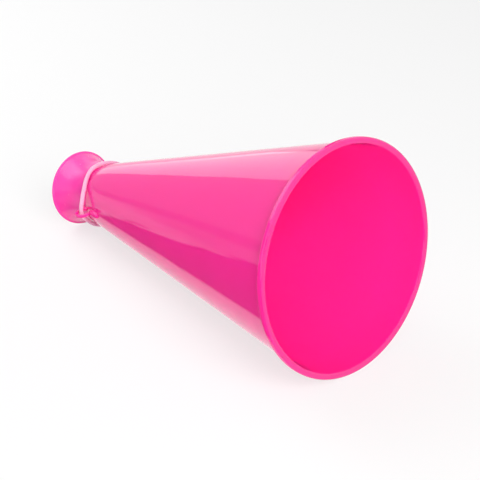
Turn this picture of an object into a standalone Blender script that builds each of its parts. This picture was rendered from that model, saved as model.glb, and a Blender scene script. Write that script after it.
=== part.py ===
"""A cheering horn of hot pink plastic, spoken into at its small end.

It lies on its side, resting on the lip of its bell and on the rim of its mouthpiece,
with its carrying cord put away in a coil behind it.

Along the horn a place is given by its station, measured along the horn's own axis from
the mouthpiece's rim towards the bell, by its radius from that axis, and by its angle,
turned from the horn's top towards the front (-Y).
"""

import math

import bmesh
import bpy
from mathutils import Matrix, Vector

MM = 0.001

# Clearance between neighbouring pieces
GAP = 0.3 * MM

# Bell cone
LIP_RADIUS = 60.0 * MM
LIP_STATION = 212.5 * MM
LIP_LENGTH = 3.4 * MM
LIP_OVERHANG = 2.1 * MM
LIP_ROUND = 1.0 * MM
LIP_INNER_ROUND = 1.2 * MM
CONE_WALL = 1.2 * MM
NOSE_WALL = 1.9 * MM
NOSE_STATION = 28.0 * MM
NOSE_ROUND = 0.5 * MM
CONE_FACETS = 96

# Socket sleeve inside the cone's small end
SOCKET_RADIUS = 16.9 * MM
SOCKET_LENGTH = 14.0 * MM
SLEEVE_WALL = 1.2 * MM

# Mouthpiece
FLARE_RISE = 4.6 * MM
RIM_ROUND = 0.9 * MM
RIM_PROUD = 0.5 * MM
SHOULDER_HEIGHT = 0.7 * MM
FLARE_LENGTH = 19.0 * MM
FLARE_POWER = 2.2
FLARE_STEPS = 7
SPIGOT_LENGTH = 12.5 * MM
MOUTHPIECE_WALL = 1.4 * MM
MOUTHPIECE_FACETS = 72

# Cord eye, a ring moulded on the cone's small end
EYE_ANGLE = 98.0
EYE_OVERHANG = 1.4 * MM
EYE_HEIGHT = 3.2 * MM
EYE_RADIUS = 4.4 * MM
EYE_WIRE = 1.0 * MM
EYE_FACETS = 32
BOSS_LENGTH = 5.5 * MM
BOSS_WIDTH = 2.4 * MM
BOSS_HEIGHT = 2.0 * MM
BOSS_SETBACK = 9.5 * MM

# Cord
CORD_DIAMETER = 2.4 * MM
CORD_FACETS = 2
TURN_STEPS = 44
RUN_STEPS = 18
END_STEPS = 7

# Knots: so many wraps of cord round a core
KNOT_CORE = 1.7 * MM
KNOT_WRAP_COUNT = 3
KNOT_FACETS = 24
KNOT_ANGLE = -112.0
KNOT_STATION = 25.0 * MM

# Coil of the spare cord
COIL_MEAN_RADIUS = 13.0 * MM
COIL_COLUMN_COUNT = 4
COIL_LAYER_COUNT = 2
COIL_PLACE = (-38.0 * MM, 52.0 * MM)
COIL_FACETS = 48

# Tie round the coil
TIE_WIDTH = 3.0 * MM
TIE_THICKNESS = 0.4 * MM
TIE_ANGLE = 60.0

# Height of what lies on the table above it
TABLE_CLEARANCE = 0.05 * MM

CORD_RADIUS = CORD_DIAMETER / 2
NOSE_RADIUS = SOCKET_RADIUS + NOSE_WALL
SPIGOT_RADIUS = SOCKET_RADIUS - GAP
NECK_RADIUS = SPIGOT_RADIUS + SHOULDER_HEIGHT
MOUTH_RADIUS = NECK_RADIUS + FLARE_RISE
LIP_FRONT = LIP_STATION + LIP_LENGTH
CONE_RADIUS = LIP_RADIUS - LIP_OVERHANG
CONE_SLOPE = (CONE_RADIUS - NOSE_RADIUS) / (LIP_STATION - NOSE_STATION)
RIM_CENTRE_RADIUS = MOUTH_RADIUS - RIM_ROUND


def cone_outside(station):
    """Outer radius of the cone's wall."""
    return NOSE_RADIUS + CONE_SLOPE * (station - NOSE_STATION)


def cone_inside(station):
    """Inner radius of the cone's wall, square to its slope."""
    return cone_outside(station) - CONE_WALL * math.hypot(1, CONE_SLOPE)


def resting_tilt():
    """Rise of the horn's axis when the lip and the mouthpiece's rim lie on one plane."""
    along = LIP_STATION + LIP_ROUND
    across = LIP_RADIUS - LIP_ROUND - RIM_CENTRE_RADIUS
    centres = math.atan2(across, along)
    rounds = math.asin((LIP_ROUND - RIM_ROUND) / math.hypot(along, across))
    return centres + rounds


TILT = resting_tilt()


def resting_place():
    """Place of the rim's centre, with the horn's box standing on the origin."""
    left = -RIM_CENTRE_RADIUS * math.sin(TILT) - RIM_ROUND
    corner = LIP_RADIUS - LIP_ROUND
    right = (LIP_FRONT - LIP_ROUND) * math.cos(TILT) + corner * math.sin(TILT) + LIP_ROUND
    height = RIM_CENTRE_RADIUS * math.cos(TILT) + RIM_ROUND
    return Vector((-(left + right) / 2, 0, height))


def on_horn(station, radius, angle):
    """Point in the horn's own frame, whose X axis is the horn's."""
    turn = math.radians(angle)
    return Vector((station, -radius * math.sin(turn), radius * math.cos(turn)))


def plastic(name, colour, roughness):
    """Glossy or matt plastic, or cord, of one colour."""
    material = bpy.data.materials.new(name)
    material.use_nodes = True
    shader = material.node_tree.nodes["Principled BSDF"]
    shader.inputs["Base Color"].default_value = (*colour, 1)
    shader.inputs["Roughness"].default_value = roughness
    shader.inputs["Metallic"].default_value = 0
    return material


def add_object(name, data, material, parent=None):
    """Object of the given mesh or curve, in the scene."""
    made = bpy.data.objects.new(name, data)
    bpy.context.scene.collection.objects.link(made)
    if material:
        data.materials.append(material)
    made.parent = parent
    return made


def arc(station, radius, round_radius, start, end, steps):
    """Points of a round corner, its angles measured from the horn's axis."""
    points = []
    for step in range(steps + 1):
        turn = math.radians(start + (end - start) * step / steps)
        points.append((station + round_radius * math.cos(turn), radius + round_radius * math.sin(turn)))
    return points


def turned_mesh(name, outline, facets, closed=True):
    """Outline of stations and radii, turned round the X axis, with flats above and below."""
    shape = bmesh.new()
    half_facet = Matrix.Rotation(math.pi / facets, 3, "X")
    corners = [shape.verts.new(half_facet @ Vector((station, 0, radius))) for station, radius in outline]
    edges = [shape.edges.new(pair) for pair in zip(corners, corners[1:])]
    if closed:
        edges.append(shape.edges.new((corners[-1], corners[0])))
    bmesh.ops.spin(
        shape,
        geom=corners + edges,
        cent=(0, 0, 0),
        axis=(1, 0, 0),
        angle=math.tau,
        steps=facets,
        use_merge=True,
    )
    bmesh.ops.remove_doubles(shape, verts=shape.verts, dist=0.001 * MM)
    bmesh.ops.recalc_face_normals(shape, faces=shape.faces)
    return finished_mesh(name, shape)


def finished_mesh(name, shape):
    """Mesh of a bmesh, smooth on its round faces."""
    mesh = bpy.data.meshes.new(name)
    shape.to_mesh(mesh)
    shape.free()
    mesh.shade_smooth()
    mesh.set_sharp_from_angle(angle=math.radians(35))
    return mesh


def add_guide(name, mesh, parent):
    """Shape that only cuts or adds to another one."""
    guide = add_object(name, mesh, None, parent)
    guide.hide_render = True
    guide.display_type = "WIRE"
    return guide


def combine(target, operation, other):
    """Boolean of one object with another."""
    modifier = target.modifiers.new(f"{operation.lower()} {other.name}", "BOOLEAN")
    modifier.operation = operation
    modifier.object = other


def cone_outline():
    """Half section of the cone: outside, lip, inside, and the sleeve that holds the mouthpiece."""
    back = LIP_STATION
    front = LIP_FRONT
    edge = LIP_RADIUS - LIP_ROUND
    mouth = cone_inside(LIP_STATION)
    sleeve_outside = SOCKET_RADIUS + SLEEVE_WALL
    socket_end = NOSE_STATION + SOCKET_LENGTH
    meeting = NOSE_STATION + (sleeve_outside - cone_inside(NOSE_STATION)) / CONE_SLOPE
    points = [(NOSE_STATION, NOSE_RADIUS - NOSE_ROUND)]
    points += [(NOSE_STATION + NOSE_ROUND, cone_outside(NOSE_STATION + NOSE_ROUND))]
    points += [(back, CONE_RADIUS)]
    points += arc(back + LIP_ROUND, edge, LIP_ROUND, 180, 90, 4)
    points += arc(front - LIP_ROUND, edge, LIP_ROUND, 90, 0, 4)
    points += arc(front - LIP_INNER_ROUND, mouth + LIP_INNER_ROUND, LIP_INNER_ROUND, 0, -90, 5)
    points += [(back, mouth)]
    points += [(meeting + SLEEVE_WALL, cone_inside(meeting + SLEEVE_WALL))]
    points += [(meeting + SLEEVE_WALL, sleeve_outside)]
    points += [(socket_end, sleeve_outside)]
    points += [(socket_end, SOCKET_RADIUS)]
    points += [(NOSE_STATION, SOCKET_RADIUS)]
    return points


def eye_centre():
    """Middle of the eye's ring, just inside the cone's small end."""
    return NOSE_STATION + EYE_OVERHANG, NOSE_RADIUS + EYE_HEIGHT


def eye_ring_mesh():
    """Ring of round wire, standing on the horn in the plane of its axis."""
    shape = bmesh.new()
    wire = bmesh.ops.create_circle(shape, segments=12, radius=EYE_WIRE)["verts"]
    bmesh.ops.translate(shape, verts=wire, vec=(EYE_RADIUS, 0, 0))
    bmesh.ops.spin(
        shape,
        geom=wire + shape.edges[:],
        cent=(0, 0, 0),
        axis=(0, 1, 0),
        angle=math.tau,
        steps=EYE_FACETS,
        use_merge=True,
    )
    station, radius = eye_centre()
    place = Matrix.Rotation(math.radians(EYE_ANGLE), 4, "X") @ Matrix.Translation((station, 0, radius))
    bmesh.ops.transform(shape, matrix=place, verts=shape.verts)
    bmesh.ops.recalc_face_normals(shape, faces=shape.faces)
    return finished_mesh("cord_eye_ring", shape)


def eye_boss_mesh():
    """Rounded swelling that joins the eye to the cone."""
    shape = bmesh.new()
    bmesh.ops.create_uvsphere(shape, u_segments=20, v_segments=12, radius=1)
    station = NOSE_STATION + BOSS_SETBACK
    size = Matrix.Diagonal((BOSS_LENGTH, BOSS_WIDTH, BOSS_HEIGHT, 1))
    slope = Matrix.Rotation(-math.atan(CONE_SLOPE), 4, "Y")
    place = Matrix.Rotation(math.radians(EYE_ANGLE), 4, "X") @ Matrix.Translation((station, 0, cone_outside(station)))
    bmesh.ops.transform(shape, matrix=place @ slope @ size, verts=shape.verts)
    return finished_mesh("cord_eye_boss", shape)


def eye_trimmer_mesh():
    """Tube that trims the eye to the middle of the cone's wall, and clear of the mouthpiece's neck."""
    half_wall = CONE_WALL / 2
    bore = SOCKET_RADIUS / 2
    clear = NECK_RADIUS + 2 * GAP
    start = NOSE_STATION - 3 * EYE_RADIUS
    end = NOSE_STATION + BOSS_SETBACK + 2 * BOSS_LENGTH
    outline = [
        (start, bore),
        (start, clear),
        (NOSE_STATION, clear),
        (NOSE_STATION, NOSE_RADIUS - half_wall),
        (end, cone_outside(end) - half_wall),
        (end, bore),
    ]
    return turned_mesh("cord_eye_trimmer", outline, CONE_FACETS)


def add_cone(horn, material):
    """Bell cone with its lip, socket sleeve and cord eye, one moulding."""
    cone = add_object("bell_cone", turned_mesh("bell_cone", cone_outline(), CONE_FACETS), material, horn)
    ring = add_guide("cord_eye_ring", eye_ring_mesh(), horn)
    boss = add_guide("cord_eye_boss", eye_boss_mesh(), horn)
    trimmer = add_guide("cord_eye_trimmer", eye_trimmer_mesh(), horn)
    combine(ring, "UNION", boss)
    combine(ring, "DIFFERENCE", trimmer)
    combine(cone, "UNION", ring)


def flare_outside(station):
    """Outer radius of the mouthpiece between its rim and its neck."""
    spread = MOUTH_RADIUS - RIM_PROUD - NECK_RADIUS
    return NECK_RADIUS + spread * (1 - station / FLARE_LENGTH) ** FLARE_POWER


def mouthpiece_outline():
    """Half section of the mouthpiece: rounded rim, flare, neck with its shoulder, and spigot."""
    shoulder = NOSE_STATION - GAP
    spigot = SPIGOT_RADIUS
    tip = shoulder + SPIGOT_LENGTH
    throat = spigot - MOUTHPIECE_WALL
    stations = [RIM_ROUND + (FLARE_LENGTH - RIM_ROUND) * step / FLARE_STEPS for step in range(FLARE_STEPS + 1)]
    points = [(station, flare_outside(station)) for station in stations]
    points += [(shoulder, NECK_RADIUS)]
    points += [(shoulder, spigot)]
    points += [(tip - NOSE_ROUND, spigot)]
    points += [(tip, spigot - NOSE_ROUND)]
    points += [(tip, throat)]
    for station in reversed(stations):
        points += [(station, throat + (flare_outside(station) - NECK_RADIUS))]
    points += arc(0, RIM_CENTRE_RADIUS, RIM_ROUND, 250, 60, 8)
    return points


def add_mouthpiece(horn, material):
    """Flared mouthpiece, pushed into the cone's socket."""
    mesh = turned_mesh("mouthpiece", mouthpiece_outline(), MOUTHPIECE_FACETS)
    add_object("mouthpiece", mesh, material, horn)


def smooth_line(points):
    """Close points on a smooth open curve that passes through the given ones."""
    ends = [2 * points[0] - points[1]] + points + [2 * points[-1] - points[-2]]
    line = []
    for before, start, end, after in zip(ends, ends[1:], ends[2:], ends[3:]):
        pull = (end - before) / 2
        push = (after - start) / 2
        for step in range(12):
            part = step / 12
            line.append(
                start
                + pull * part
                + (3 * (end - start) - 2 * pull - push) * part**2
                + (2 * (start - end) + pull + push) * part**3
            )
    return line + [points[-1]]


def evened(line, count):
    """So many equal steps along a line of close points."""
    reached = [0.0]
    for start, end in zip(line, line[1:]):
        reached.append(reached[-1] + (end - start).length)
    route = []
    index = 0
    for step in range(count + 1):
        wanted = reached[-1] * step / count
        while index < len(line) - 2 and reached[index + 1] < wanted:
            index += 1
        part = (wanted - reached[index]) / (reached[index + 1] - reached[index])
        route.append(line[index].lerp(line[index + 1], part))
    return route


def cord_curve(name, route):
    """Round cord along a route."""
    curve = bpy.data.curves.new(name, "CURVE")
    curve.dimensions = "3D"
    curve.bevel_depth = CORD_RADIUS
    curve.bevel_resolution = CORD_FACETS
    curve.use_fill_caps = True
    spline = curve.splines.new("POLY")
    spline.points.add(len(route) - 1)
    for point, place in zip(spline.points, route):
        point.co = (*place, 1)
    return curve


KNOT_LENGTH = KNOT_WRAP_COUNT * CORD_DIAMETER
KNOT_RADIUS = KNOT_CORE + CORD_RADIUS
SEATED = CORD_RADIUS + GAP
KNOT_SEAT = NECK_RADIUS + GAP + KNOT_RADIUS
KNOT_REACH = KNOT_LENGTH / 2 + GAP
STRANDS_APART = CORD_RADIUS + GAP / 2


def knot_matrix():
    """Frame of the neck cord's knot: X along the knot, down round the back of the neck."""
    outward = on_horn(0, 1, KNOT_ANGLE)
    along = Vector((0, outward.z, -outward.y))
    across = outward.cross(along)
    turn = Matrix((along, across, outward)).transposed()
    return Matrix.Translation(on_horn(KNOT_STATION, KNOT_SEAT, KNOT_ANGLE)) @ turn.to_4x4()


def beside_knot(distance, across):
    """Station, radius and angle of a point on the knot's own line, past one of its ends."""
    angle = KNOT_ANGLE - math.degrees(math.atan2(distance, KNOT_SEAT))
    return KNOT_STATION + across, math.hypot(distance, KNOT_SEAT), angle


def turn_route():
    """Turn of cord round the neck, from the knot's upper end, over the front and back below."""
    eye_station, eye_radius = eye_centre()
    on_neck = NECK_RADIUS + SEATED
    upper = [beside_knot(-KNOT_REACH, 0), beside_knot(-KNOT_REACH - CORD_DIAMETER, 0)]
    lower = []
    for reach in (KNOT_REACH + CORD_DIAMETER, KNOT_REACH):
        station, radius, angle = beside_knot(reach, -STRANDS_APART)
        lower.append((station, radius, angle + 360))
    way = upper + [
        (NOSE_STATION - 2.9 * MM, on_neck + 2.5 * MM, -88.5),
        (NOSE_STATION - 2.5 * MM, on_neck + 1.7 * MM, -81),
        (NOSE_STATION - 2.1 * MM, on_neck + 0.6 * MM, -70),
        (NOSE_STATION - 1.8 * MM, on_neck + 0.1 * MM, -55),
        (NOSE_STATION - 1.8 * MM, on_neck, -35),
        (NOSE_STATION - 3.0 * MM, on_neck, -12),
        (NOSE_STATION - 4.5 * MM, on_neck, 5),
        (NOSE_STATION - 5.0 * MM, on_neck, 22),
        (NOSE_STATION - 3.4 * MM, on_neck + 0.2 * MM, 40),
        (NOSE_STATION - 0.2 * MM, on_neck + 1.6 * MM, 60),
        (NOSE_STATION + 1.6 * MM, on_neck + 3.3 * MM, 77),
        (eye_station, eye_radius + 1.0 * MM, 88),
        (eye_station - 1.5 * MM, eye_radius + 0.8 * MM, EYE_ANGLE + 1.5),
        (NOSE_STATION - 3.6 * MM, on_neck + 1.8 * MM, 113),
        (NOSE_STATION - 6.2 * MM, on_neck + 0.2 * MM, 130),
        (NOSE_STATION - 7.2 * MM, on_neck + 0.1 * MM, 150),
        (NOSE_STATION - 7.2 * MM, on_neck + 0.1 * MM, 172),
        (NOSE_STATION - 6.0 * MM, on_neck + 0.2 * MM, 192),
        (NOSE_STATION - 5.2 * MM, on_neck + 1.4 * MM, 212),
        (NOSE_STATION - 4.6 * MM, on_neck + 2.5 * MM, 223),
    ] + lower
    line = smooth_line([Vector(place) for place in way])
    return evened([on_horn(*place) for place in line], TURN_STEPS)


def knot_mesh(name, matrix):
    """Barrel of neat wraps, rounded like the cord that they are made of."""
    outline = [(-KNOT_LENGTH / 2, 0), (-KNOT_LENGTH / 2, CORD_RADIUS)]
    for wrap in range(KNOT_WRAP_COUNT):
        centre = (wrap - (KNOT_WRAP_COUNT - 1) / 2) * CORD_DIAMETER
        outline += arc(centre, KNOT_CORE, CORD_RADIUS, 165, 15, 6)
    outline += [(KNOT_LENGTH / 2, CORD_RADIUS), (KNOT_LENGTH / 2, 0)]
    mesh = turned_mesh(name, outline, KNOT_FACETS, closed=False)
    mesh.transform(matrix)
    return mesh


COIL_HALF_WIDTH = COIL_COLUMN_COUNT * CORD_RADIUS
COIL_HEIGHT = COIL_LAYER_COUNT * CORD_DIAMETER
COIL_BASE = TIE_THICKNESS + GAP
COIL_OUTSIDE = COIL_MEAN_RADIUS + COIL_HALF_WIDTH
COIL_INSIDE = COIL_MEAN_RADIUS - COIL_HALF_WIDTH
ON_TABLE = CORD_RADIUS + TABLE_CLEARANCE


def coil_centre():
    """Middle of the coil on the table."""
    return Vector((*COIL_PLACE, 0))


def run_route():
    """Spare cord: out of the knot's lower end, down to the table, and along it to the coil."""
    knot = Matrix.Translation(resting_place()) @ Matrix.Rotation(-TILT, 4, "Y") @ knot_matrix()
    leaving = knot @ Vector((KNOT_REACH, -STRANDS_APART, 0))
    free = knot @ Vector((KNOT_REACH + CORD_DIAMETER, -STRANDS_APART, 0))
    beside = COIL_PLACE[1] - COIL_OUTSIDE - SEATED
    way = [
        leaving,
        free,
        Vector((free.x + 0.4 * MM, free.y + 0.6 * MM, free.z - 4.5 * MM)),
        Vector((free.x + 2.4 * MM, free.y + 4.0 * MM, ON_TABLE + 0.9 * MM)),
        Vector((free.x + 6.5 * MM, free.y + 8.6 * MM, ON_TABLE)),
        Vector((free.x + 14.0 * MM, beside + 1.4 * MM, ON_TABLE)),
        Vector((free.x + 24.0 * MM, beside - 1.2 * MM, ON_TABLE)),
        Vector((COIL_PLACE[0] - 8.0 * MM, beside - 0.3 * MM, ON_TABLE)),
        Vector((COIL_PLACE[0], beside, COIL_BASE + CORD_RADIUS)),
    ]
    route = evened(smooth_line(way), RUN_STEPS)
    for place in route:
        place.z = max(place.z, ON_TABLE)
    return route


def coil_mesh():
    """Turned ring with the outer shape of the coil's turns."""
    round_radius = 0.8 * CORD_RADIUS
    low = COIL_BASE + round_radius
    high = COIL_BASE + COIL_HEIGHT - round_radius
    near = COIL_INSIDE + round_radius
    far = COIL_OUTSIDE - round_radius
    outline = arc(low, near, round_radius, 270, 180, 2)
    outline += arc(low, far, round_radius, 180, 90, 2)
    outline += arc(high, far, round_radius, 90, 0, 2)
    outline += arc(high, near, round_radius, 0, -90, 2)
    mesh = turned_mesh("cord_coil", outline, COIL_FACETS)
    mesh.transform(Matrix.Translation(coil_centre()) @ Matrix.Rotation(-math.pi / 2, 4, "Y"))
    return mesh


def tie_mesh():
    """Flat band bent round the coil's turns."""
    shape = bmesh.new()
    inside = Vector((COIL_HALF_WIDTH + GAP, COIL_HEIGHT / 2 + GAP - TABLE_CLEARANCE))
    outside = inside + Vector((TIE_THICKNESS, TIE_THICKNESS))
    loops = []
    for size in (inside, outside):
        loops.append([(x * size.x, y * size.y) for x, y in ((-1, -1), (1, -1), (1, 1), (-1, 1))])
    sides = []
    for across in (-TIE_WIDTH / 2, TIE_WIDTH / 2):
        sides.append([[shape.verts.new((x, across, z)) for x, z in loop] for loop in loops])
    for corner in range(4):
        following = (corner + 1) % 4
        for inner, outer in sides:
            shape.faces.new((inner[corner], inner[following], outer[following], outer[corner]))
        for which in (0, 1):
            one, other = sides[0][which], sides[1][which]
            shape.faces.new((one[corner], one[following], other[following], other[corner]))
    bmesh.ops.recalc_face_normals(shape, faces=shape.faces)
    place = (
        Matrix.Translation(coil_centre() + Vector((0, 0, COIL_BASE + COIL_HEIGHT / 2)))
        @ Matrix.Rotation(math.radians(TIE_ANGLE), 4, "Z")
        @ Matrix.Translation((COIL_MEAN_RADIUS, 0, 0))
    )
    bmesh.ops.transform(shape, matrix=place, verts=shape.verts)
    return finished_mesh("coil_tie", shape)


def end_route():
    """Last of the cord: off the coil's top, down to the table and on to its end knot."""
    beside = COIL_OUTSIDE + SEATED
    top = COIL_BASE + COIL_HEIGHT - CORD_RADIUS
    axis = KNOT_RADIUS + TABLE_CLEARANCE
    way = [
        Vector((beside, 1.0 * MM, top)),
        Vector((beside + 0.3 * MM, 6.0 * MM, top - 1.0 * MM)),
        Vector((beside - 0.3 * MM, 12.0 * MM, ON_TABLE)),
        Vector((beside - 2.4 * MM, 18.0 * MM, ON_TABLE + 0.3 * MM)),
        Vector((beside - 4.6 * MM, 22.0 * MM, axis - 0.2 * MM)),
        Vector((beside - 5.8 * MM, 24.2 * MM, axis)),
    ]
    route = evened(smooth_line([coil_centre() + place for place in way]), END_STEPS)
    for place in route:
        place.z = max(place.z, ON_TABLE)
    return route


def end_knot_matrix(route):
    """Frame of the end knot: it follows the last of the cord and lies on the table."""
    along = route[-1] - route[-2]
    along.z = 0
    along.normalize()
    across = Vector((0, 0, 1)).cross(along)
    turn = Matrix((along, across, Vector((0, 0, 1)))).transposed()
    place = route[-1] + along * KNOT_REACH
    return Matrix.Translation(place) @ turn.to_4x4()


def build():
    """All the pieces, in their places."""
    for old in list(bpy.data.objects):
        bpy.data.objects.remove(old)

    pink = plastic("hot pink plastic", (1.0, 0.02, 0.31), 0.12)
    magenta = plastic("magenta pink plastic", (1.0, 0.045, 0.39), 0.14)
    braid = plastic("pale pink cord", (1.0, 0.49, 0.71), 0.8)
    band = plastic("white tie", (0.83, 0.82, 0.83), 0.5)

    horn = bpy.data.objects.new("horn", None)
    bpy.context.scene.collection.objects.link(horn)
    horn.location = resting_place()
    horn.rotation_euler = (0, -TILT, 0)

    add_cone(horn, pink)
    add_mouthpiece(horn, magenta)
    add_object("neck_cord", cord_curve("neck_cord", turn_route()), braid, horn)
    add_object("neck_knot", knot_mesh("neck_knot", knot_matrix()), braid, horn)
    add_object("cord_run", cord_curve("cord_run", run_route()), braid)
    add_object("cord_coil", coil_mesh(), braid)
    add_object("coil_tie", tie_mesh(), band)
    last = end_route()
    add_object("cord_end", cord_curve("cord_end", last), braid)
    add_object("end_knot", knot_mesh("end_knot", end_knot_matrix(last)), braid)


build()
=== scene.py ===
import math

import bmesh
import bpy
from mathutils import Matrix, Vector


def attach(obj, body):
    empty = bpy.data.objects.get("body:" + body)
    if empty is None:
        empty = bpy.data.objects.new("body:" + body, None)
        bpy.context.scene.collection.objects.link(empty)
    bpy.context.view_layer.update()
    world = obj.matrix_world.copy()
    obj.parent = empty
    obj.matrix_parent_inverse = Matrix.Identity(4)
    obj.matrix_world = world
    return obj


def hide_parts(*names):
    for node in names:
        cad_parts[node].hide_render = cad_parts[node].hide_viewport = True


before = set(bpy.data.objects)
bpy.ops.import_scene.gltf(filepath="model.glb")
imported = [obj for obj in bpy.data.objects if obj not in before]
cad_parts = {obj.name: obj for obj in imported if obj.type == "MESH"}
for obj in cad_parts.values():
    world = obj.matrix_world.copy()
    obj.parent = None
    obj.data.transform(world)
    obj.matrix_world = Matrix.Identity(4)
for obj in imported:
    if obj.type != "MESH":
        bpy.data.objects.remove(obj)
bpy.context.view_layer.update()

MM = 0.001

# Camera: a long lens close to the horn, in front of its bell and a little above it.
# It sees the bell's inside, the cord's side of the cone, and the mouthpiece far away.
CAMERA_PLACE = (457.86 * MM, -416.79 * MM, 374.19 * MM)
CAMERA_TURN = (math.radians(60.862), 0, math.radians(45.96))
CAMERA_LENS = 97.55

lens = bpy.data.cameras.new("camera")
lens.sensor_width = 36
lens.lens = CAMERA_LENS
lens.clip_start = 0.01
camera = bpy.data.objects.new("camera", lens)
camera.location = CAMERA_PLACE
camera.rotation_euler = CAMERA_TURN
bpy.context.scene.collection.objects.link(camera)
bpy.context.scene.camera = camera

# Spare cord: soft pale pink braid, 2.4 mm thick, tied to the ring round the horn's neck.
# It drops from the knot to the table, lies there and is wound into a flat coil of two layers,
# held by a tie, and its free end is knotted so that the braid doesn't fray.
CORD_DIAMETER = 2.4 * MM
CORD_PINK = (1.0, 0.49, 0.71, 1)
COIL_MIDDLE = Vector((-38.0, 52.0, 0)) * MM
COIL_OUTER = 16.6 * MM
COIL_INNER = 9.4 * MM
COIL_LAYER = (1.3 * MM, 3.74 * MM)
COIL_TURNS = (3, 3.25)
CLIMB_TURNS = (2.7, 3.2)
COIL_START = -0.25
STEPS_PER_TURN = 24
RUN_WAY = (
    (-81.24, 17.55, 15.08),
    (-80.95, 17.10, 12.00),
    (-80.55, 17.35, 8.70),
    (-79.55, 18.55, 4.90),
    (-77.60, 20.90, 2.30),
    (-74.70, 24.10, 1.26),
    (-70.80, 27.80, 1.25),
    (-65.80, 30.90, 1.25),
    (-59.50, 32.80, 1.25),
    (-52.50, 33.90, 1.25),
    (-45.50, 34.90, 1.25),
)
END_WAY = (
    (-20.00, 55.60, 3.45),
    (-19.50, 59.20, 2.45),
    (-19.60, 62.80, 1.45),
    (-20.30, 66.40, 1.27),
    (-21.40, 69.60, 1.60),
    (-22.90, 73.10, 2.55),
    (-24.47, 76.15, 2.95),
)
KNOT_RADIUS = 1.72 * MM
KNOT_TUCK = 0.9 * MM
KNOT_PITCH = 2.38 * MM
KNOT_TURNS = 1.17
KNOT_HALF_LENGTH = 4.0 * MM
LAST_KNOT_MIDDLE = (-26.397, 79.607, 2.95)
LAST_KNOT_ALONG = (-0.4865, 0.8737, 0)


def through(points, steps):
    """Close points on a smooth open curve through the given ones."""
    ends = [2 * points[0] - points[1]] + points + [2 * points[-1] - points[-2]]
    line = []
    for before, start, end, after in zip(ends, ends[1:], ends[2:], ends[3:]):
        pull = (end - before) / 2
        push = (after - start) / 2
        for step in range(steps):
            part = step / steps
            bend = (3 * (end - start) - 2 * pull - push) * part**2
            line.append(start + pull * part + bend + (2 * (start - end) + pull + push) * part**3)
    return line + [points[-1]]


def coil_points():
    """Three turns inwards on the table, a climb, and three and a quarter turns outwards on top."""
    pitch = (COIL_OUTER - COIL_INNER) / COIL_TURNS[0]
    points = []
    for step in range(int(sum(COIL_TURNS) * STEPS_PER_TURN) + 1):
        turn = step / STEPS_PER_TURN
        radius = COIL_INNER + pitch * abs(turn - COIL_TURNS[0])
        climb = (turn - CLIMB_TURNS[0]) / (CLIMB_TURNS[1] - CLIMB_TURNS[0])
        climb = min(max(climb, 0), 1)
        height = COIL_LAYER[0] + (COIL_LAYER[1] - COIL_LAYER[0]) * climb * climb * (3 - 2 * climb)
        angle = math.tau * (turn + COIL_START)
        place = Vector((radius * math.cos(angle), radius * math.sin(angle), height))
        points.append(COIL_MIDDLE + place)
    return points


def braid_material(name, colour):
    """Soft braided cord: strands crossing both ways, read from the tube's own UV map, with painted
    shade where the strands dip.
    """
    material = bpy.data.materials.new(name)
    material.use_nodes = True
    nodes, links = material.node_tree.nodes, material.node_tree.links
    shader = nodes["Principled BSDF"]
    shader.inputs["Roughness"].default_value = 0.75
    shader.inputs["Sheen Weight"].default_value = 0.25
    shader.inputs["Subsurface Weight"].default_value = 0.15
    shader.inputs["Subsurface Scale"].default_value = 0.002
    shader.inputs["Subsurface Radius"].default_value = (1.0, 0.6, 0.7)
    place = nodes.new("ShaderNodeUVMap")
    strands = []
    for side in (1, -1):
        lean = nodes.new("ShaderNodeMapping")
        lean.inputs["Rotation"].default_value = (0, 0, side * math.radians(45))
        links.new(place.outputs["UV"], lean.inputs["Vector"])
        wave = nodes.new("ShaderNodeTexWave")
        wave.wave_profile = "SIN"
        wave.inputs["Scale"].default_value = 0.9
        links.new(lean.outputs["Vector"], wave.inputs["Vector"])
        strands.append(wave)
    over = nodes.new("ShaderNodeMath")
    over.operation = "MAXIMUM"
    links.new(strands[0].outputs["Fac"], over.inputs[0])
    links.new(strands[1].outputs["Fac"], over.inputs[1])
    fuzz = nodes.new("ShaderNodeTexNoise")
    fuzz.inputs["Scale"].default_value = 2500
    object_place = nodes.new("ShaderNodeTexCoord")
    links.new(object_place.outputs["Object"], fuzz.inputs["Vector"])
    height = nodes.new("ShaderNodeMath")
    height.operation = "MULTIPLY_ADD"
    height.inputs[1].default_value = 0.25
    links.new(fuzz.outputs["Fac"], height.inputs[0])
    links.new(over.outputs["Value"], height.inputs[2])
    relief = nodes.new("ShaderNodeBump")
    relief.inputs["Strength"].default_value = 0.7
    relief.inputs["Distance"].default_value = 0.0003
    links.new(height.outputs["Value"], relief.inputs["Height"])
    links.new(relief.outputs["Normal"], shader.inputs["Normal"])
    # Painted shade: the colour is darker between the strands, where the weave dips.
    strand_painted_shade = nodes.new("ShaderNodeValToRGB")
    strand_painted_shade.color_ramp.elements[0].position = 0.2
    strand_painted_shade.color_ramp.elements[0].color = (*[0.82 * c for c in colour[:3]], 1)
    strand_painted_shade.color_ramp.elements[1].position = 0.9
    strand_painted_shade.color_ramp.elements[1].color = colour
    links.new(over.outputs["Value"], strand_painted_shade.inputs["Fac"])
    links.new(strand_painted_shade.outputs["Color"], shader.inputs["Base Color"])
    return material


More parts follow.
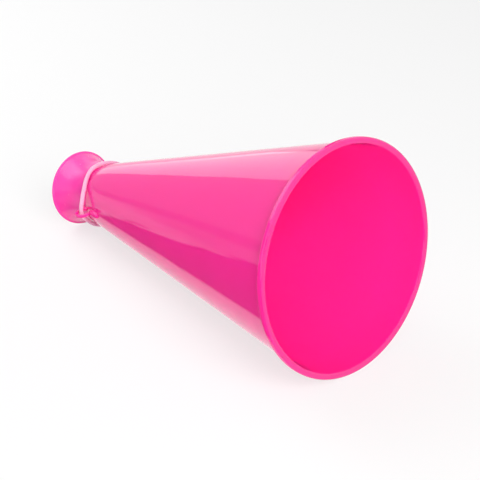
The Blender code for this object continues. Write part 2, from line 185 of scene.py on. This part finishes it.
def cord_tube(name, points, material):
    """Round tube along the points, with a UV map that counts along and round in equal steps."""
    curve = bpy.data.curves.new(name, "CURVE")
    curve.dimensions = "3D"
    curve.bevel_depth = CORD_DIAMETER / 2
    curve.bevel_resolution = 4
    curve.use_fill_caps = True
    spline = curve.splines.new("POLY")
    spline.points.add(len(points) - 1)
    for point, place in zip(spline.points, points):
        point.co = (*place, 1)
    tube = bpy.data.objects.new(name, curve)
    bpy.context.scene.collection.objects.link(tube)
    mesh = bpy.data.meshes.new_from_object(tube.evaluated_get(bpy.context.evaluated_depsgraph_get()))
    bpy.data.objects.remove(tube)
    bpy.data.curves.remove(curve)
    tube = bpy.data.objects.new(name, mesh)
    bpy.context.scene.collection.objects.link(tube)
    reached = [0.0]
    for start, end in zip(points, points[1:]):
        reached.append(reached[-1] + (end - start).length)
    shape = bmesh.new()
    shape.from_mesh(mesh)
    bmesh.ops.remove_doubles(shape, verts=shape.verts, dist=0.00001)
    bmesh.ops.recalc_face_normals(shape, faces=shape.faces)
    layer = shape.loops.layers.uv.verify()
    rings = {}
    for corner in shape.verts:
        nearest = min(range(len(points)), key=lambda index: (points[index] - corner.co).length)
        ahead = points[min(nearest + 1, len(points) - 1)] - points[max(nearest - 1, 0)]
        side = ahead.normalized().cross(Vector((0, 0, 1)))
        side = side.normalized() if side.length > 0.01 else Vector((1, 0, 0))
        up = side.cross(ahead.normalized())
        out = corner.co - points[nearest]
        rings[corner] = (reached[nearest], math.atan2(out.dot(up), out.dot(side)))
    for face in shape.faces:
        face.smooth = len(face.verts) < 5
        first = rings[face.loops[0].vert][1]
        for loop in face.loops:
            along, round_angle = rings[loop.vert]
            while round_angle - first > math.pi:
                round_angle -= math.tau
            while round_angle - first < -math.pi:
                round_angle += math.tau
            loop[layer].uv = (along / (math.pi * CORD_DIAMETER) * 3, round_angle / math.tau * 3)
    shape.to_mesh(mesh)
    shape.free()
    mesh.materials.clear()
    mesh.materials.append(material)
    return tube


def wrapped_knot(name, middle, along, outward):
    """Barrel knot: two wraps and a third of cord round the cord itself, their ends tucked in."""
    middle = Vector(middle) * MM
    along, outward = Vector(along).normalized(), Vector(outward).normalized()
    across = along.cross(outward)
    last_step = int(KNOT_TURNS * STEPS_PER_TURN)
    wraps = []
    for step in range(-last_step, last_step + 1):
        turn = step / STEPS_PER_TURN
        tuck = max(abs(turn) - 1.0, 0) / (KNOT_TURNS - 1.0)
        angle = math.tau * turn
        radius = KNOT_RADIUS - KNOT_TUCK * tuck * tuck
        away = (outward * math.cos(angle) + across * math.sin(angle)) * radius
        wraps.append(middle + along * (KNOT_PITCH * turn) + away)
    core = [middle + along * (part * KNOT_HALF_LENGTH) for part in (-1, -0.5, 0, 0.5, 1)]
    knot = cord_tube(name, wraps, cord_braid)
    strand = cord_tube(name + "_core", core, cord_braid)
    joined = bmesh.new()
    joined.from_mesh(knot.data)
    joined.from_mesh(strand.data)
    joined.to_mesh(knot.data)
    joined.free()
    bpy.data.objects.remove(strand)
    return knot


cord_braid = braid_material("pale pink braid", CORD_PINK)
run_line = through([Vector(place) * MM for place in RUN_WAY], 2)
end_line = through([Vector(place) * MM for place in END_WAY], 2)
cord_line = run_line + coil_points() + end_line
spare_cord = cord_tube("spare_cord", cord_line, cord_braid)
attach(spare_cord, "horn")
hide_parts("cord_run", "cord_coil", "cord_end")

last_knot = wrapped_knot("last_knot", LAST_KNOT_MIDDLE, LAST_KNOT_ALONG, (0, 0, 1))
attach(last_knot, "horn")
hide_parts("end_knot")

# Bell cone: one thin moulding of glossy hot pink plastic, with a rounded lip round its bell.
# It is turned from its half section; a sleeve inside its small end holds the mouthpiece.
# The lip's front is a little darker in colour: painted shade, standing in for less light on it.
AXIS_TILT = math.radians(10.11858)
HORN_PLACE = Vector((-109.1668, 0, 21.5734)) * MM
LIP_RADIUS = 60.0 * MM
LIP_BACK = 212.5 * MM
LIP_FRONT = 215.9 * MM
LIP_ROUND = 1.0 * MM
LIP_INNER_ROUND = 1.2 * MM
CONE_AT_LIP = 57.9 * MM
NOSE_STATION = 28.0 * MM
NOSE_RADIUS = 18.8 * MM
NOSE_ROUND = 0.4 * MM
WALL = 1.2 * MM
SOCKET_RADIUS = 16.9 * MM
SOCKET_BEVEL = 0.3 * MM
SOCKET_END = 42.0 * MM
HOT_PINK = (1.0, 0.02, 0.31, 1)
CONE_ROUGHNESS = 0.015
# Share of the lip's colour left on its front by the painted shade.
LIP_PAINTED_SHADE = 0.68
horn_matrix = Matrix.Translation(HORN_PLACE) @ Matrix.Rotation(-AXIS_TILT, 4, "Y")
cone_slope = (CONE_AT_LIP - NOSE_RADIUS) / (LIP_BACK - NOSE_STATION)


def corner_round(station, radius, size, start, end, steps):
    """Points round a corner of a half section."""
    turns = [math.radians(start + (end - start) * step / steps) for step in range(steps + 1)]
    return [(station + size * math.cos(turn), radius + size * math.sin(turn)) for turn in turns]


def settle(shape):
    """Sorts a spun shape by places along a slant, because the order that spin leaves varies."""
    slant = Vector((1.0, 0.7321, 0.4142))
    shape.verts.sort(key=lambda corner: corner.co.dot(slant))
    shape.verts.index_update()
    shape.edges.sort(key=lambda edge: (edge.verts[0].co + edge.verts[1].co).dot(slant))
    shape.edges.index_update()
    shape.faces.sort(key=lambda face: face.calc_center_median().dot(slant))
    shape.faces.index_update()


def turned(name, section, steps, crease):
    """Half section of stations and radii, spun round the horn's axis."""
    shape = bmesh.new()
    corners = [shape.verts.new((station, 0, radius)) for station, radius in section]
    edges = [shape.edges.new(pair) for pair in zip(corners, corners[1:] + corners[:1])]
    bmesh.ops.spin(
        shape,
        geom=corners + edges,
        cent=(0, 0, 0),
        axis=(1, 0, 0),
        angle=math.tau,
        steps=steps,
        use_merge=True,
    )
    bmesh.ops.remove_doubles(shape, verts=shape.verts, dist=0.000001)
    bmesh.ops.recalc_face_normals(shape, faces=shape.faces)
    bmesh.ops.transform(shape, matrix=horn_matrix, verts=shape.verts)
    settle(shape)
    mesh = bpy.data.meshes.new(name)
    shape.to_mesh(mesh)
    shape.free()
    mesh.shade_smooth()
    mesh.set_sharp_from_angle(angle=math.radians(crease))
    made = bpy.data.objects.new(name, mesh)
    bpy.context.scene.collection.objects.link(made)
    return made


def glossy_plastic(name, colour, roughness):
    """Glossy moulded plastic: a nearly even colour, fine scuffs and a soft waviness."""
    material = bpy.data.materials.new(name)
    material.use_nodes = True
    nodes, links = material.node_tree.nodes, material.node_tree.links
    shader = nodes["Principled BSDF"]
    shader.inputs["IOR"].default_value = 1.5
    shader.inputs["Subsurface Weight"].default_value = 0.25
    shader.inputs["Subsurface Scale"].default_value = 0.004
    shader.inputs["Subsurface Radius"].default_value = (1.0, 0.15, 0.7)
    place = nodes.new("ShaderNodeTexCoord")
    cloud = nodes.new("ShaderNodeTexNoise")
    cloud.inputs["Scale"].default_value = 22
    cloud.inputs["Detail"].default_value = 3
    links.new(place.outputs["Object"], cloud.inputs["Vector"])
    shade = nodes.new("ShaderNodeValToRGB")
    shade.color_ramp.elements[0].position = 0.3
    shade.color_ramp.elements[0].color = (*[0.965 * c for c in colour[:3]], 1)
    shade.color_ramp.elements[1].position = 0.7
    shade.color_ramp.elements[1].color = colour
    links.new(cloud.outputs["Fac"], shade.inputs["Fac"])
    links.new(shade.outputs["Color"], shader.inputs["Base Color"])
    scuffs = nodes.new("ShaderNodeTexNoise")
    scuffs.inputs["Scale"].default_value = 260
    scuffs.inputs["Detail"].default_value = 6
    links.new(place.outputs["Object"], scuffs.inputs["Vector"])
    gloss = nodes.new("ShaderNodeMapRange")
    gloss.inputs["From Min"].default_value = 0.35
    gloss.inputs["From Max"].default_value = 0.8
    gloss.inputs["To Min"].default_value = roughness
    gloss.inputs["To Max"].default_value = roughness + 0.1
    links.new(scuffs.outputs["Fac"], gloss.inputs["Value"])
    links.new(gloss.outputs["Result"], shader.inputs["Roughness"])
    swell = nodes.new("ShaderNodeTexNoise")
    swell.inputs["Scale"].default_value = 30
    swell.inputs["Detail"].default_value = 1
    links.new(place.outputs["Object"], swell.inputs["Vector"])
    relief = nodes.new("ShaderNodeBump")
    relief.inputs["Strength"].default_value = 0.35
    relief.inputs["Distance"].default_value = 0.0006
    links.new(swell.outputs["Fac"], relief.inputs["Height"])
    links.new(relief.outputs["Normal"], shader.inputs["Normal"])
    return material


def cone_section():
    """Outside, rounded lip, inside and sleeve of the cone."""
    wall_across = WALL * math.hypot(1, cone_slope)
    mouth = CONE_AT_LIP - wall_across
    sleeve = SOCKET_RADIUS + WALL
    meeting = NOSE_STATION + (sleeve - NOSE_RADIUS + wall_across) / cone_slope + WALL
    section = [(NOSE_STATION, SOCKET_RADIUS + SOCKET_BEVEL)]
    nose_centre = (NOSE_STATION + NOSE_ROUND, NOSE_RADIUS - NOSE_ROUND)
    section += corner_round(*nose_centre, NOSE_ROUND, 180, 100, 4)
    for step in range(1, 13):
        station = NOSE_STATION + (LIP_BACK - NOSE_STATION) * step / 12
        section.append((station, NOSE_RADIUS + cone_slope * (station - NOSE_STATION)))
    section += corner_round(LIP_BACK + LIP_ROUND, LIP_RADIUS - LIP_ROUND, LIP_ROUND, 180, 90, 6)
    section += corner_round(LIP_FRONT - LIP_ROUND, LIP_RADIUS - LIP_ROUND, LIP_ROUND, 90, 0, 6)
    inner_centre = (LIP_FRONT - LIP_INNER_ROUND, mouth + LIP_INNER_ROUND)
    section += corner_round(*inner_centre, LIP_INNER_ROUND, 0, -80, 9)
    for step in range(12):
        station = LIP_BACK + (meeting - LIP_BACK) * step / 12
        section.append((station, mouth + cone_slope * (station - LIP_BACK)))
    section += [(meeting, sleeve), (SOCKET_END, sleeve), (SOCKET_END, SOCKET_RADIUS)]
    section += [(NOSE_STATION + SOCKET_BEVEL, SOCKET_RADIUS)]
    return section


def shade_lip(material):
    """Darkens the lip's front with painted shade, found by its place along the horn's axis."""
    nodes, links = material.node_tree.nodes, material.node_tree.links
    axis = Vector((math.cos(AXIS_TILT), 0, math.sin(AXIS_TILT)))
    front = HORN_PLACE.dot(axis) + LIP_FRONT
    place = nodes.new("ShaderNodeTexCoord")
    along = nodes.new("ShaderNodeVectorMath")
    along.operation = "DOT_PRODUCT"
    along.inputs[1].default_value = axis
    links.new(place.outputs["Object"], along.inputs[0])
    # Painted shade: the colour darkens across the lip's front.
    lip_painted_shade = nodes.new("ShaderNodeMapRange")
    lip_painted_shade.interpolation_type = "SMOOTHSTEP"
    lip_painted_shade.inputs["From Min"].default_value = front - LIP_ROUND
    lip_painted_shade.inputs["From Max"].default_value = front - 0.2 * LIP_ROUND
    lip_painted_shade.inputs["To Min"].default_value = 1.0
    lip_painted_shade.inputs["To Max"].default_value = LIP_PAINTED_SHADE
    links.new(along.outputs["Value"], lip_painted_shade.inputs["Value"])
    shaded = nodes.new("ShaderNodeVectorMath")
    shaded.operation = "SCALE"
    base = nodes["Principled BSDF"].inputs["Base Color"]
    links.new(base.links[0].from_socket, shaded.inputs[0])
    links.new(lip_painted_shade.outputs["Result"], shaded.inputs["Scale"])
    links.new(shaded.outputs["Vector"], base)


hot_pink = glossy_plastic("hot pink plastic", HOT_PINK, CONE_ROUGHNESS)
shade_lip(hot_pink)
bell_shell = turned("bell_shell", cone_section(), 256, 35)
bell_shell.data.materials.append(hot_pink)
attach(bell_shell, "horn")
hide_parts("bell_cone")

# Cord eye: a ring and a small swelling moulded on the cone's small end, of the same plastic.
# The ring stands in a plane through the horn's axis. What would lie inside the wall is cut away.
EYE_ANGLE = 98.0
EYE_STATION = 29.4 * MM
EYE_DISTANCE = 22.0 * MM
EYE_RADIUS = 4.4 * MM
EYE_WIRE = 1.0 * MM
BOSS_STATION = 37.5 * MM
BOSS_SIZE = (5.5 * MM, 2.4 * MM, 2.0 * MM)
HIDDEN_RADIUS = 17.9 * MM

shape = bmesh.new()
wire = bmesh.ops.create_circle(shape, segments=24, radius=EYE_WIRE)["verts"]
bmesh.ops.translate(shape, verts=wire, vec=(EYE_RADIUS, 0, 0))
bmesh.ops.spin(
    shape,
    geom=wire + shape.edges[:],
    cent=(0, 0, 0),
    axis=(0, 1, 0),
    angle=math.tau,
    steps=64,
    use_merge=True,
)
bmesh.ops.translate(shape, verts=shape.verts, vec=(EYE_STATION, 0, EYE_DISTANCE))
boss = bmesh.ops.create_uvsphere(shape, u_segments=40, v_segments=24, radius=1)["verts"]
boss_radius = NOSE_RADIUS + cone_slope * (BOSS_STATION - NOSE_STATION)
boss_place = Matrix.Translation((BOSS_STATION, 0, boss_radius))
boss_lean = Matrix.Rotation(-math.atan(cone_slope), 4, "Y")
bmesh.ops.transform(shape, matrix=boss_place @ boss_lean @ Matrix.Diagonal((*BOSS_SIZE, 1)), verts=boss)
round_axis = Matrix.Rotation(math.radians(EYE_ANGLE), 4, "X")
bmesh.ops.transform(shape, matrix=round_axis, verts=shape.verts)
inner = [
    face
    for face in shape.faces
    if all(math.hypot(corner.co.y, corner.co.z) < HIDDEN_RADIUS for corner in face.verts)
]
bmesh.ops.delete(shape, geom=inner, context="FACES")
bmesh.ops.holes_fill(shape, edges=shape.edges, sides=0)
bmesh.ops.recalc_face_normals(shape, faces=shape.faces)
bmesh.ops.transform(shape, matrix=horn_matrix, verts=shape.verts)
settle(shape)
mesh = bpy.data.meshes.new("cord_eye")
shape.to_mesh(mesh)
shape.free()
mesh.shade_smooth()
cord_eye = bpy.data.objects.new("cord_eye", mesh)
bpy.context.scene.collection.objects.link(cord_eye)
mesh.materials.append(hot_pink)
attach(cord_eye, "horn")

# Mouthpiece: a flared ring for the mouth and a neck, of a slightly more magenta plastic.
# Its spigot is pushed into the cone's socket as far as the shoulder.
MOUTH_RADIUS = 21.9 * MM
RIM_ROUND = 0.9 * MM
RIM_PROUD = 0.5 * MM
NECK_RADIUS = 17.3 * MM
FLARE_LENGTH = 19.0 * MM
FLARE_POWER = 2.2
SHOULDER = 27.7 * MM
SHOULDER_ROUND = 0.3 * MM
SPIGOT_RADIUS = 16.6 * MM
SPIGOT_END = 40.2 * MM
SPIGOT_BEVEL = 0.5 * MM
THROAT_RADIUS = 15.2 * MM
MAGENTA_PINK = (1.0, 0.045, 0.39, 1)
MOUTH_ROUGHNESS = 0.2


def flare(station):
    """Outer radius of the mouthpiece from its rim to its neck."""
    spread = MOUTH_RADIUS - RIM_PROUD - NECK_RADIUS
    return NECK_RADIUS + spread * (1 - station / FLARE_LENGTH) ** FLARE_POWER


flare_stations = [RIM_ROUND + (FLARE_LENGTH - RIM_ROUND) * step / 24 for step in range(25)]
section = [(station, flare(station)) for station in flare_stations]
shoulder_centre = (SHOULDER - SHOULDER_ROUND, NECK_RADIUS - SHOULDER_ROUND)
section += corner_round(*shoulder_centre, SHOULDER_ROUND, 90, 0, 3)
section += [(SHOULDER, SPIGOT_RADIUS), (SPIGOT_END - SPIGOT_BEVEL, SPIGOT_RADIUS)]
section += [(SPIGOT_END, SPIGOT_RADIUS - SPIGOT_BEVEL), (SPIGOT_END, THROAT_RADIUS)]
inside_offset = THROAT_RADIUS - NECK_RADIUS
section += [(station, flare(station) + inside_offset) for station in reversed(flare_stations)]
section += corner_round(0, MOUTH_RADIUS - RIM_ROUND, RIM_ROUND, 250, 60, 14)
mouth_flare = turned("mouth_flare", section, 192, 35)
magenta_pink = glossy_plastic("magenta pink plastic", MAGENTA_PINK, MOUTH_ROUGHNESS)
mouth_flare.data.materials.append(magenta_pink)
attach(mouth_flare, "mouthpiece")
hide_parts("mouthpiece")

# Ring of cord round the neck: the same braid, from its knot behind the neck over the top,
# through the moulded eye and back below the neck. Each place on its way is a station along the
# axis and a distance from it in millimetres, and an angle round it in degrees.
RING_WAY = (
    (25.0, 20.87, -101.2),
    (25.0, 21.4, -95.1),
    (25.1, 21.3, -88.5),
    (25.5, 20.5, -81),
    (25.9, 19.4, -70),
    (26.2, 18.9, -55),
    (26.2, 18.8, -35),
    (25.0, 18.8, -12),
    (23.5, 18.8, 5),
    (23.0, 18.8, 22),
    (24.6, 19.0, 40),
    (27.8, 20.4, 60),
    (29.6, 22.1, 77),
    (29.4, 23.0, 88),
    (27.9, 22.8, 99.5),
    (24.4, 20.6, 113),
    (21.8, 19.0, 130),
    (20.8, 18.9, 150),
    (20.8, 18.9, 172),
    (22.0, 19.0, 192),
    (22.8, 20.2, 212),
    (23.4, 21.3, 223),
    (23.65, 21.4, 230.9),
    (23.65, 20.87, 237.2),
)
ring_line = []
for station, radius, angle in through([Vector(place) for place in RING_WAY], 6):
    turn = math.radians(angle)
    place = Vector((station, -radius * math.sin(turn), radius * math.cos(turn)))
    ring_line.append(horn_matrix @ (place * MM))
neck_ring = cord_tube("neck_ring", ring_line, cord_braid)
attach(neck_ring, "horn")
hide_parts("neck_cord")

# Neck knot: a barrel of wraps behind the neck. The ring goes in above and comes out below,
# beside the spare cord.
NECK_KNOT_MIDDLE = (-83.206, 19.007, 18.406)
NECK_KNOT_ALONG = (0.1629, -0.3746, -0.9128)
NECK_KNOT_OUTWARD = (0.0658, 0.9272, -0.3688)

neck_wraps = wrapped_knot("neck_wraps", NECK_KNOT_MIDDLE, NECK_KNOT_ALONG, NECK_KNOT_OUTWARD)
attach(neck_wraps, "horn")
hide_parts("neck_knot")

# Coil tie: a flat band of soft plastic bent round the coil. The CAD piece stays; its band is
# ribbed along its length and a little cloudy.
TIE_WHITE = (0.83, 0.82, 0.83, 1)
tie_plastic = bpy.data.materials.new("tie plastic")
tie_plastic.use_nodes = True
nodes, links = tie_plastic.node_tree.nodes, tie_plastic.node_tree.links
shader = nodes["Principled BSDF"]
shader.inputs["Roughness"].default_value = 0.45
place = nodes.new("ShaderNodeTexCoord")
cloud = nodes.new("ShaderNodeTexNoise")
cloud.inputs["Scale"].default_value = 300
links.new(place.outputs["Object"], cloud.inputs["Vector"])
shade = nodes.new("ShaderNodeValToRGB")
shade.color_ramp.elements[0].position = 0.35
shade.color_ramp.elements[0].color = (*[0.9 * c for c in TIE_WHITE[:3]], 1)
shade.color_ramp.elements[1].position = 0.65
shade.color_ramp.elements[1].color = TIE_WHITE
links.new(cloud.outputs["Fac"], shade.inputs["Fac"])
links.new(shade.outputs["Color"], shader.inputs["Base Color"])
turn = nodes.new("ShaderNodeMapping")
turn.inputs["Rotation"].default_value = (0, 0, math.radians(30))
links.new(place.outputs["Object"], turn.inputs["Vector"])
ribs = nodes.new("ShaderNodeTexWave")
ribs.inputs["Scale"].default_value = 700
links.new(turn.outputs["Vector"], ribs.inputs["Vector"])
relief = nodes.new("ShaderNodeBump")
relief.inputs["Strength"].default_value = 0.4
relief.inputs["Distance"].default_value = 0.0001
links.new(ribs.outputs["Fac"], relief.inputs["Height"])
links.new(relief.outputs["Normal"], shader.inputs["Normal"])
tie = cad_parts["coil_tie"]
for index in range(len(tie.material_slots)):
    tie.material_slots[index].material = tie_plastic

# Table: a plain white floor, lifted towards white where the camera sees it, its shadow kept.
# Gloss sees a painted reflection on it instead, a glow in bands: white close to the horn's side,
# dark further out, then pale and streaky, and greyer from its far end on.
FLOOR_WHITE = (0.82, 0.82, 0.82, 1)
FLOOR_LIFT = 0.72
SHEET_SLOPE = -0.24
SHEET_EDGE = -0.0525
DARK_SLOPE = 0.8
DARK_EDGE = (-0.111, -0.09)
CLOSE_EDGE = -0.13
FAR_END = -0.58
NEAR_GLOW = 0.95
DARK_GLOW = 0.14
FAR_GLOW = 0.66
CLOSE_GLOW = 0.95
FAR_END_DARKER = 0.2
STREAK_SCALE = 9
STREAK_SHIFT = 0.15
STREAK_GLOW = 0.8

floor_mesh = bpy.data.meshes.new("floor")
shape = bmesh.new()
bmesh.ops.create_grid(shape, x_segments=1, y_segments=1, size=6)
shape.to_mesh(floor_mesh)
shape.free()
floor = bpy.data.objects.new("floor", floor_mesh)
bpy.context.scene.collection.objects.link(floor)


def scalar(tree, operation, *values):
    """Math node of the given numbers and sockets."""
    node = tree.nodes.new("ShaderNodeMath")
    node.operation = operation
    for socket, value in zip(node.inputs, values):
        if isinstance(value, (int, float)):
            socket.default_value = value
        else:
            tree.links.new(value, socket)
    return node.outputs["Value"]


def edge_step(tree, value, softness):
    """From 0 to 1 as a value passes from below zero to above it."""
    step = tree.nodes.new("ShaderNodeMapRange")
    step.interpolation_type = "SMOOTHSTEP"
    step.inputs["From Min"].default_value = -softness
    step.inputs["From Max"].default_value = softness
    tree.links.new(value, step.inputs["Value"])
    return step.outputs["Result"]


floor_white = bpy.data.materials.new("floor white")
floor_white.use_nodes = True
tree = floor_white.node_tree
surface = tree.nodes["Principled BSDF"]
surface.inputs["Base Color"].default_value = FLOOR_WHITE
surface.inputs["Roughness"].default_value = 0.7
surface.inputs["Specular IOR Level"].default_value = 0.1
rays = tree.nodes.new("ShaderNodeLightPath")
where = tree.nodes.new("ShaderNodeTexCoord")
axes = tree.nodes.new("ShaderNodeSeparateXYZ")
tree.links.new(where.outputs["Object"], axes.inputs["Vector"])
along, across = axes.outputs["X"], axes.outputs["Y"]
streaks = tree.nodes.new("ShaderNodeTexNoise")
streaks.inputs["Scale"].default_value = STREAK_SCALE
streaks.inputs["Detail"].default_value = 4
streaks.inputs["Roughness"].default_value = 0.65
tree.links.new(where.outputs["Object"], streaks.inputs["Vector"])
sway = scalar(tree, "SUBTRACT", streaks.outputs["Fac"], 0.5)
sheet_line = scalar(tree, "MULTIPLY_ADD", along, SHEET_SLOPE, SHEET_EDGE)
near = edge_step(tree, scalar(tree, "SUBTRACT", across, sheet_line), 0.003)
slant = scalar(tree, "MINIMUM", scalar(tree, "SUBTRACT", across, DARK_EDGE[1]), 0.0)
dark_line = scalar(tree, "MULTIPLY_ADD", slant, DARK_SLOPE, DARK_EDGE[0])
dark_line = scalar(tree, "MULTIPLY_ADD", sway, STREAK_SHIFT, dark_line)
far = edge_step(tree, scalar(tree, "SUBTRACT", dark_line, along), 0.006)
close = edge_step(tree, scalar(tree, "SUBTRACT", across, CLOSE_EDGE), 0.03)
past_end = edge_step(tree, scalar(tree, "SUBTRACT", FAR_END, along), 0.1)
far_glow = scalar(tree, "MULTIPLY_ADD", close, CLOSE_GLOW - FAR_GLOW, FAR_GLOW)
far_glow = scalar(tree, "MULTIPLY_ADD", past_end, -FAR_END_DARKER, far_glow)
far_glow = scalar(tree, "MULTIPLY_ADD", sway, STREAK_GLOW, far_glow)
near_glow = scalar(tree, "MULTIPLY", near, NEAR_GLOW)
glow = scalar(tree, "MAXIMUM", near_glow, scalar(tree, "MULTIPLY", far, far_glow))
glow = scalar(tree, "MAXIMUM", glow, DARK_GLOW)
# Painted reflection: the glow that glossy rays see on the floor in place of its white.
painted_reflection = tree.nodes.new("ShaderNodeEmission")
tree.links.new(glow, painted_reflection.inputs["Strength"])
lift = tree.nodes.new("ShaderNodeEmission")
lifted = tree.nodes.new("ShaderNodeMixShader")
lift_share = scalar(tree, "MULTIPLY", rays.outputs["Is Camera Ray"], FLOOR_LIFT)
tree.links.new(lift_share, lifted.inputs["Fac"])
tree.links.new(surface.outputs["BSDF"], lifted.inputs[1])
tree.links.new(lift.outputs["Emission"], lifted.inputs[2])
mixed = tree.nodes.new("ShaderNodeMixShader")
tree.links.new(rays.outputs["Is Glossy Ray"], mixed.inputs["Fac"])
tree.links.new(lifted.outputs["Shader"], mixed.inputs[1])
tree.links.new(painted_reflection.outputs["Emission"], mixed.inputs[2])
tree.links.new(mixed.outputs["Shader"], tree.nodes["Material Output"].inputs["Surface"])
floor_mesh.materials.append(floor_white)

# Studio: even white light all round, and white where the camera sees it. Gloss sees a pale wall on
# the mouthpiece's side, a ceiling above it, bright open sides, and darkness behind the camera.
# The edges are parts of a direction, from -1 to 1 along each axis.
ROOM_LIGHT = 0.29
ROOM_DARK = 0.1
WALL_GLOW = 0.66
WALL_EDGE = -0.8
CEILING_GLOW = 0.7
CEILING_BOTTOM = 0.5
CEILING_EDGE = -0.2
OPEN_GLOW = 1.3
OPEN_EDGE = -0.68
CAMERA_SIDE = 1.2
CAMERA_BOTTOM = 0.25

world = bpy.data.worlds.new("studio")
world.use_nodes = True
bpy.context.scene.world = world
tree = world.node_tree
rays = tree.nodes.new("ShaderNodeLightPath")
where = tree.nodes.new("ShaderNodeTexCoord")
axes = tree.nodes.new("ShaderNodeSeparateXYZ")
tree.links.new(where.outputs["Generated"], axes.inputs["Vector"])
east, north, height = axes.outputs["X"], axes.outputs["Y"], axes.outputs["Z"]
wall = edge_step(tree, scalar(tree, "SUBTRACT", WALL_EDGE, east), 0.1)
over_wall = edge_step(tree, scalar(tree, "SUBTRACT", height, CEILING_BOTTOM), 0.2)
mouth_side = edge_step(tree, scalar(tree, "SUBTRACT", CEILING_EDGE, east), 0.2)
ceiling = scalar(tree, "MULTIPLY", over_wall, mouth_side)
open_side = edge_step(tree, scalar(tree, "SUBTRACT", east, OPEN_EDGE), 0.05)
sideways = scalar(tree, "SUBTRACT", east, north)
towards_camera = edge_step(tree, scalar(tree, "SUBTRACT", sideways, CAMERA_SIDE), 0.1)
over_table = edge_step(tree, scalar(tree, "SUBTRACT", height, CAMERA_BOTTOM), 0.1)
behind_camera = scalar(tree, "MULTIPLY", towards_camera, over_table)
glow = scalar(tree, "MULTIPLY_ADD", wall, WALL_GLOW - ROOM_DARK, ROOM_DARK)
glow = scalar(tree, "MAXIMUM", glow, scalar(tree, "MULTIPLY", ceiling, CEILING_GLOW))
open_glow = scalar(tree, "MULTIPLY", open_side, scalar(tree, "SUBTRACT", 1.0, behind_camera))
glow = scalar(tree, "MAXIMUM", glow, scalar(tree, "MULTIPLY", open_glow, OPEN_GLOW))
in_gloss = scalar(tree, "SUBTRACT", glow, ROOM_LIGHT)
in_gloss = scalar(tree, "MULTIPLY", rays.outputs["Is Glossy Ray"], in_gloss)
in_camera = scalar(tree, "MULTIPLY", rays.outputs["Is Camera Ray"], 1 - ROOM_LIGHT)
level = scalar(tree, "ADD", scalar(tree, "ADD", in_gloss, in_camera), ROOM_LIGHT)
tree.nodes["Background"].inputs["Color"].default_value = (1, 1, 1, 1)
tree.links.new(level, tree.nodes["Background"].inputs["Strength"])


def softbox(name, place, aim, size, glow, mirrored):
    """Rectangular lamp that points at a place and is as bright as glow times white."""
    lamp = bpy.data.lights.new(name, "AREA")
    lamp.shape = "RECTANGLE"
    lamp.size, lamp.size_y = size
    lamp.energy = glow * math.pi * size[0] * size[1]
    made = bpy.data.objects.new(name, lamp)
    made.location = place
    made.rotation_euler = (Vector(aim) - Vector(place)).to_track_quat("-Z", "Y").to_euler()
    made.visible_glossy = mirrored
    bpy.context.scene.collection.objects.link(made)


softbox("back panel", (-1.168, 0.57, 0.45), (0, 0, 0.45), (0.65, 0.9), 0.95, True)
softbox("near softbox", (-0.40, -0.17, 0.51), (-0.05, 0, 0.03), (0.45, 0.45), 2.05, True)
softbox("neck softbox", (-0.75, 0.05, 0.50), (-0.1, 0, 0.03), (0.5, 0.5), 3.0, False)
softbox("low softbox", (0.91, -0.50, 0.14), (0.05, 0, 0.05), (0.5, 0.5), 2.8, False)
softbox("fill softbox", (0.755, -0.27, 0.60), (0.08, 0, 0.07), (0.5, 0.5), 11.0, False)

bpy.context.scene.view_settings.view_transform = "Standard"
